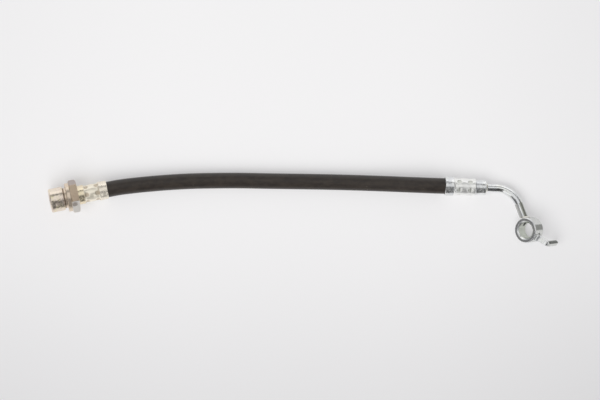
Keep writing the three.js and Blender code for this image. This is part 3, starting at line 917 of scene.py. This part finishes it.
def eye_tints_and_painted_shade():
    """The bore is painted a darker greenish grey as painted shade, and the mouth of its port near black as
    painted shade. The round side is greyer, with a dark block of painted reflection where it mirrors
    the shaded table, and a dark spot of painted shade at the tang's root. The tang's outer stretch is
    grey, and dark along one flank as a painted reflection of the shaded table."""
    round_side = dict(x=(0.4 - EYE_HALF, EYE_HALF - 0.7), radius=(EYE_RADIUS - 0.3, EYE_RADIUS + 0.3))
    outer_tang = dict(x=(-FAR, -2.5), radius=(EYE_RADIUS + 2.5, FAR))
    return [
        # painted shade: the bore is darker and greenish
        area(zone(radius=(0, BOLT_BORE + 0.2)), colour(206, 211, 199), 0.85, rough=0.04),
        # painted shade: the mouth of the port is near black
        area(painted_dark_spot((-0.5, -1.9, 4.8), 1.5), colour(12, 12, 10), 1, rough=0.1, matt=0.8),
        area(zone(**round_side), colour(208, 210, 205), 0.6),
        # painted reflection: a dark block on the round side, mirroring the shaded table
        area(zone(y=(0, FAR), z=(-3.2, 0.4), soft=0.5, **round_side), colour(96, 99, 93), 0.9),
        # painted shade: a dark spot at the tang's root
        area(painted_dark_spot((0, 6, -5.6), 1.4), colour(92, 94, 90), 0.8),
        area(zone(**outer_tang), colour(202, 204, 198), 0.6),
        # painted reflection: one flank of the tang is dark, mirroring the shaded table
        area(zone(y=(9, FAR), **outer_tang), colour(84, 88, 82), 0.9),
    ]


def banjo_eye():
    """The eye as one closed turned surface, with the pipe's seat and the port sunk into it where their
    distance from the pipe's axis, sqrt(x^2 + (r sin a)^2), is under their radius, and its tang."""
    profile = [
        [-EYE_HALF, EYE_RADIUS - EYE_CHAMFER],
        [EYE_CHAMFER - EYE_HALF, EYE_RADIUS],
        [EYE_HALF - EYE_CHAMFER, EYE_RADIUS],
        [EYE_HALF, EYE_RADIUS - EYE_CHAMFER],
        [EYE_HALF, BOLT_BORE + EYE_BORE_CHAMFER],
        [EYE_HALF - EYE_BORE_CHAMFER, BOLT_BORE],
        [EYE_BORE_CHAMFER - EYE_HALF, BOLT_BORE],
        [-EYE_HALF, BOLT_BORE + EYE_BORE_CHAMFER],
    ]

    def step_at(x, radius):
        return np.where(np.abs(x) < EYE_HALF - EYE_CHAMFER, 0.12, 2)

    rows = stepped(eased(profile), step_at)
    x, radius = rows[:, :1], rows[:, 1:]
    angles = around(240)
    away = np.where(np.cos(angles) > 0, np.hypot(x, radius * np.sin(angles)), EYE_RADIUS)
    seat_depth = PIPE_IN_EYE + SEAT_GAP
    port_depth = EYE_RADIUS - seat_depth - PORT_WEB - BOLT_BORE
    seat = (radius > EYE_RADIUS - NEAR) * (1 - smooth(away, PIPE_RADIUS, PIPE_RADIUS + 2 * FIT_GAP))
    port = (radius < BOLT_BORE + NEAR) * (1 - smooth(away, FLUID_HOLE - 0.15, FLUID_HOLE + 0.1))
    points = EYE_PLACE.out(lathe(x, radius - seat_depth * seat + port_depth * port, angles))
    strip = EYE_PLACE.out(tang())
    material = bright_zinc("eye_zinc", EYE_PLACE, 0.12, eye_tints_and_painted_shade(), tooling=0.06)
    piece("eye_with_tang", "banjo_eye", "bright_zinc", material, (points, True), (strip, False))


def tang():
    """A strip swept along a bent line: its section is a rounded oblong, (w cos a^p, t sin a^p), it
    widens into the eye at its root, and its width shrinks as a circle does at its tip."""
    bend = np.pi / 2 - TANG_LEAN
    trim = TANG_BEND_RADIUS * np.tan(bend / 2)
    lengths = TANG_ROOT + TANG_REACH - trim, TANG_BEND_RADIUS, bend, TANG_RUN - trim
    s, centres, forward = bent_line(*lengths, 0.25)
    w, t = TANG_WIDTH / 2, TANG_THICKNESS / 2
    tip = np.clip((s - s[-1] + w) / w, 0, 1)
    root = 0.5 * np.minimum(1, np.exp((TANG_ROOT - s) / 1.1))
    wide = w * np.sqrt(1 - (0.995 * tip) ** 2) * (1 + root)
    thick = t * (1 - 0.35 * tip**6) * (1 + root)
    a = around(48)
    power = 0.42
    across = np.sign(np.cos(a)) * np.abs(np.cos(a)) ** power * wide[:, None]
    up = np.sign(np.sin(a)) * np.abs(np.sin(a)) ** power * thick[:, None]
    normal = np.stack([-forward[:, 1], forward[:, 0], 0 * s], -1)
    strip = centres[:, None] + np.array([0, 0, 1]) * across[..., None] + normal[:, None] * up[..., None]
    leaning = np.array([
        [np.cos(TANG_LEAN), np.sin(TANG_LEAN), 0],
        [-np.sin(TANG_LEAN), np.cos(TANG_LEAN), 0],
        [0, 0, 1],
    ])
    against_eye = np.array([
        [0, np.sin(TANG_TURN), np.cos(TANG_TURN)],
        [-1, 0, 0],
        [0, -np.cos(TANG_TURN), np.sin(TANG_TURN)],
    ])
    return ((strip - [TANG_ROOT, 0, 0]) @ leaning + [EYE_RADIUS, 0, 0]) @ against_eye


def hidden_nodes():
    """What the cover and the sockets hide keeps its own solid, with its finish."""
    rubber, braid = finish("liner_rubber", plain_rubber), finish("braided_yarn", yarn)
    steel = finish("insert_steel", turned_steel, Metallic=1)
    finishes = {
        "hose_liner": rubber,
        "inner_braid": braid,
        "cushion_layer": rubber,
        "outer_braid": braid,
        "inlet_nipple": steel,
        "outlet_nipple": steel,
    }
    for node, material in finishes.items():
        mesh = frame["nodes"][node].data
        mesh.materials.clear()
        mesh.materials.append(material)


# The studio

def camera():
    data = bpy.data.cameras.new("camera")
    data.sensor_width = SENSOR
    data.lens = SENSOR * CAMERA_DISTANCE / (PHOTO_WIDTH / PIXELS_PER_MM)
    data.clip_end = 20
    obj = bpy.data.objects.new("camera", data)
    obj.location = (VIEW_CENTRE[0] * MM, VIEW_CENTRE[1] * MM, (CAMERA_DISTANCE + HOSE_RADIUS) * MM)
    bpy.context.scene.collection.objects.link(obj)
    bpy.context.scene.camera = obj


def table():
    """A pale surface that glows a little, so that shadows on it stay light. The glow falls off to the
    sides and towards the photograph's lower edge."""
    half = 9
    corners = [(-half, -half, 0), (half, -half, 0), (half, half, 0), (-half, half, 0)]
    mesh = bpy.data.meshes.new("table")
    mesh.from_pydata(corners, [], [(0, 1, 2, 3)])
    material = bpy.data.materials.new("table_paper")
    material.use_nodes = True
    nodes = Nodes(material.node_tree)
    at = nodes.in_millimetres()
    across, up = nodes.axis(at, "X"), nodes.axis(at, "Y")
    dimmer = nodes.step(across, 40, 260) * 0.18 + nodes.step(-across, 60, 300) * 0.16
    dimmer = dimmer + nodes.step(-up, -40, 190) * 0.5
    glow = nodes.mixed(dimmer, (0.985, 0.98, 0.985, 1), (0, 0, 0.02, 1))
    shader = nodes.add("BsdfPrincipled", {}, {
        "Base Color": (0.62, 0.615, 0.62, 1),
        "Roughness": 0.9,
        "Specular IOR Level": 0.1,
        "Emission Color": glow,
        "Emission Strength": 0.37,
    })
    nodes.add("OutputMaterial", {}, [shader])
    mesh.materials.append(material)
    obj = bpy.data.objects.new("table", mesh)
    bpy.context.scene.collection.objects.link(obj)


def key_light():
    """A soft box on the near left side, high up. The metal mirrors the room and not this light."""
    data = bpy.data.lights.new("soft_box", "AREA")
    data.shape = "RECTANGLE"
    data.size, data.size_y = 3.6, 2.6
    data.energy = 78
    obj = bpy.data.objects.new("soft_box", data)
    obj.location = (-1.1, -1.4, 2.9)
    obj.rotation_euler = (-obj.location).to_track_quat("-Z", "Y").to_euler()
    obj.visible_glossy = False
    obj.visible_camera = False
    bpy.context.scene.collection.objects.link(obj)


def room():
    """The room that the metal mirrors: a pale ceiling and white walls, with a dark opening and a grey
    sill on the near side, a dark gap at the far right, and dark walls to the left and right. The camera
    sees a pale backdrop, and the matt surfaces get an even light."""
    world = bpy.data.worlds.new("room")
    bpy.context.scene.world = world
    world.use_nodes = True
    nodes = Nodes(world.node_tree)
    toward = nodes.add("TexCoord", output="Generated")
    x, y, z = (nodes.axis(toward, name) for name in "XYZ")
    degrees = float(np.degrees(1))
    over = nodes.math("ARCTAN2", -y, z) * degrees
    level = (x * x + y * y) ** 0.5
    tilt = nodes.math("ARCTAN2", level, z) * degrees
    near = nodes.step(over, 0, 9) * (1 - nodes.step(over, 88, 98)) * (1 - nodes.step(x, 0.31, 0.36))
    near = near * nodes.step(x - y * 0.33, 0.06, 0.13)
    sill = nodes.step(over, 68, 74) * (1 - nodes.step(over, 82, 88))
    gap = nodes.step(tilt, 40, 44) * (1 - nodes.step(tilt, 56, 62)) * nodes.step(x + y, 0.1, 0.3)
    left = nodes.step(y - x, 0, 0.14) * nodes.step(-x, 0.5, 0.64)
    right = nodes.step(x, 0.6, 0.68)
    overhead = 1 - nodes.step(tilt, 38, 46)
    light = 1.08 - near * 0.98 - gap * 0.92 - sill * 0.5 - left * 0.9 - right * 0.84 - overhead * 0.24
    light = nodes.math("MAXIMUM", light, 0.02)
    seen = nodes.add("LightPath", output="Is Camera Ray")
    matt = nodes.add("LightPath", output="Is Diffuse Ray")
    backdrop = 0.8
    even_light = 0.4
    strength = light * (1 - seen) * (1 - matt) + seen * backdrop + matt * even_light
    shader = nodes.add("Background", {}, {"Color": (1, 1, 1, 1), "Strength": strength})
    nodes.add("OutputWorld", {}, [shader])


camera()
hose_cover()
female_fitting()
crimp_socket()
bent_pipe()
socket_braze()
eye_braze()
banjo_eye()
hidden_nodes()
table()
key_light()
room()
bpy.context.scene.view_settings.view_transform = "Standard"
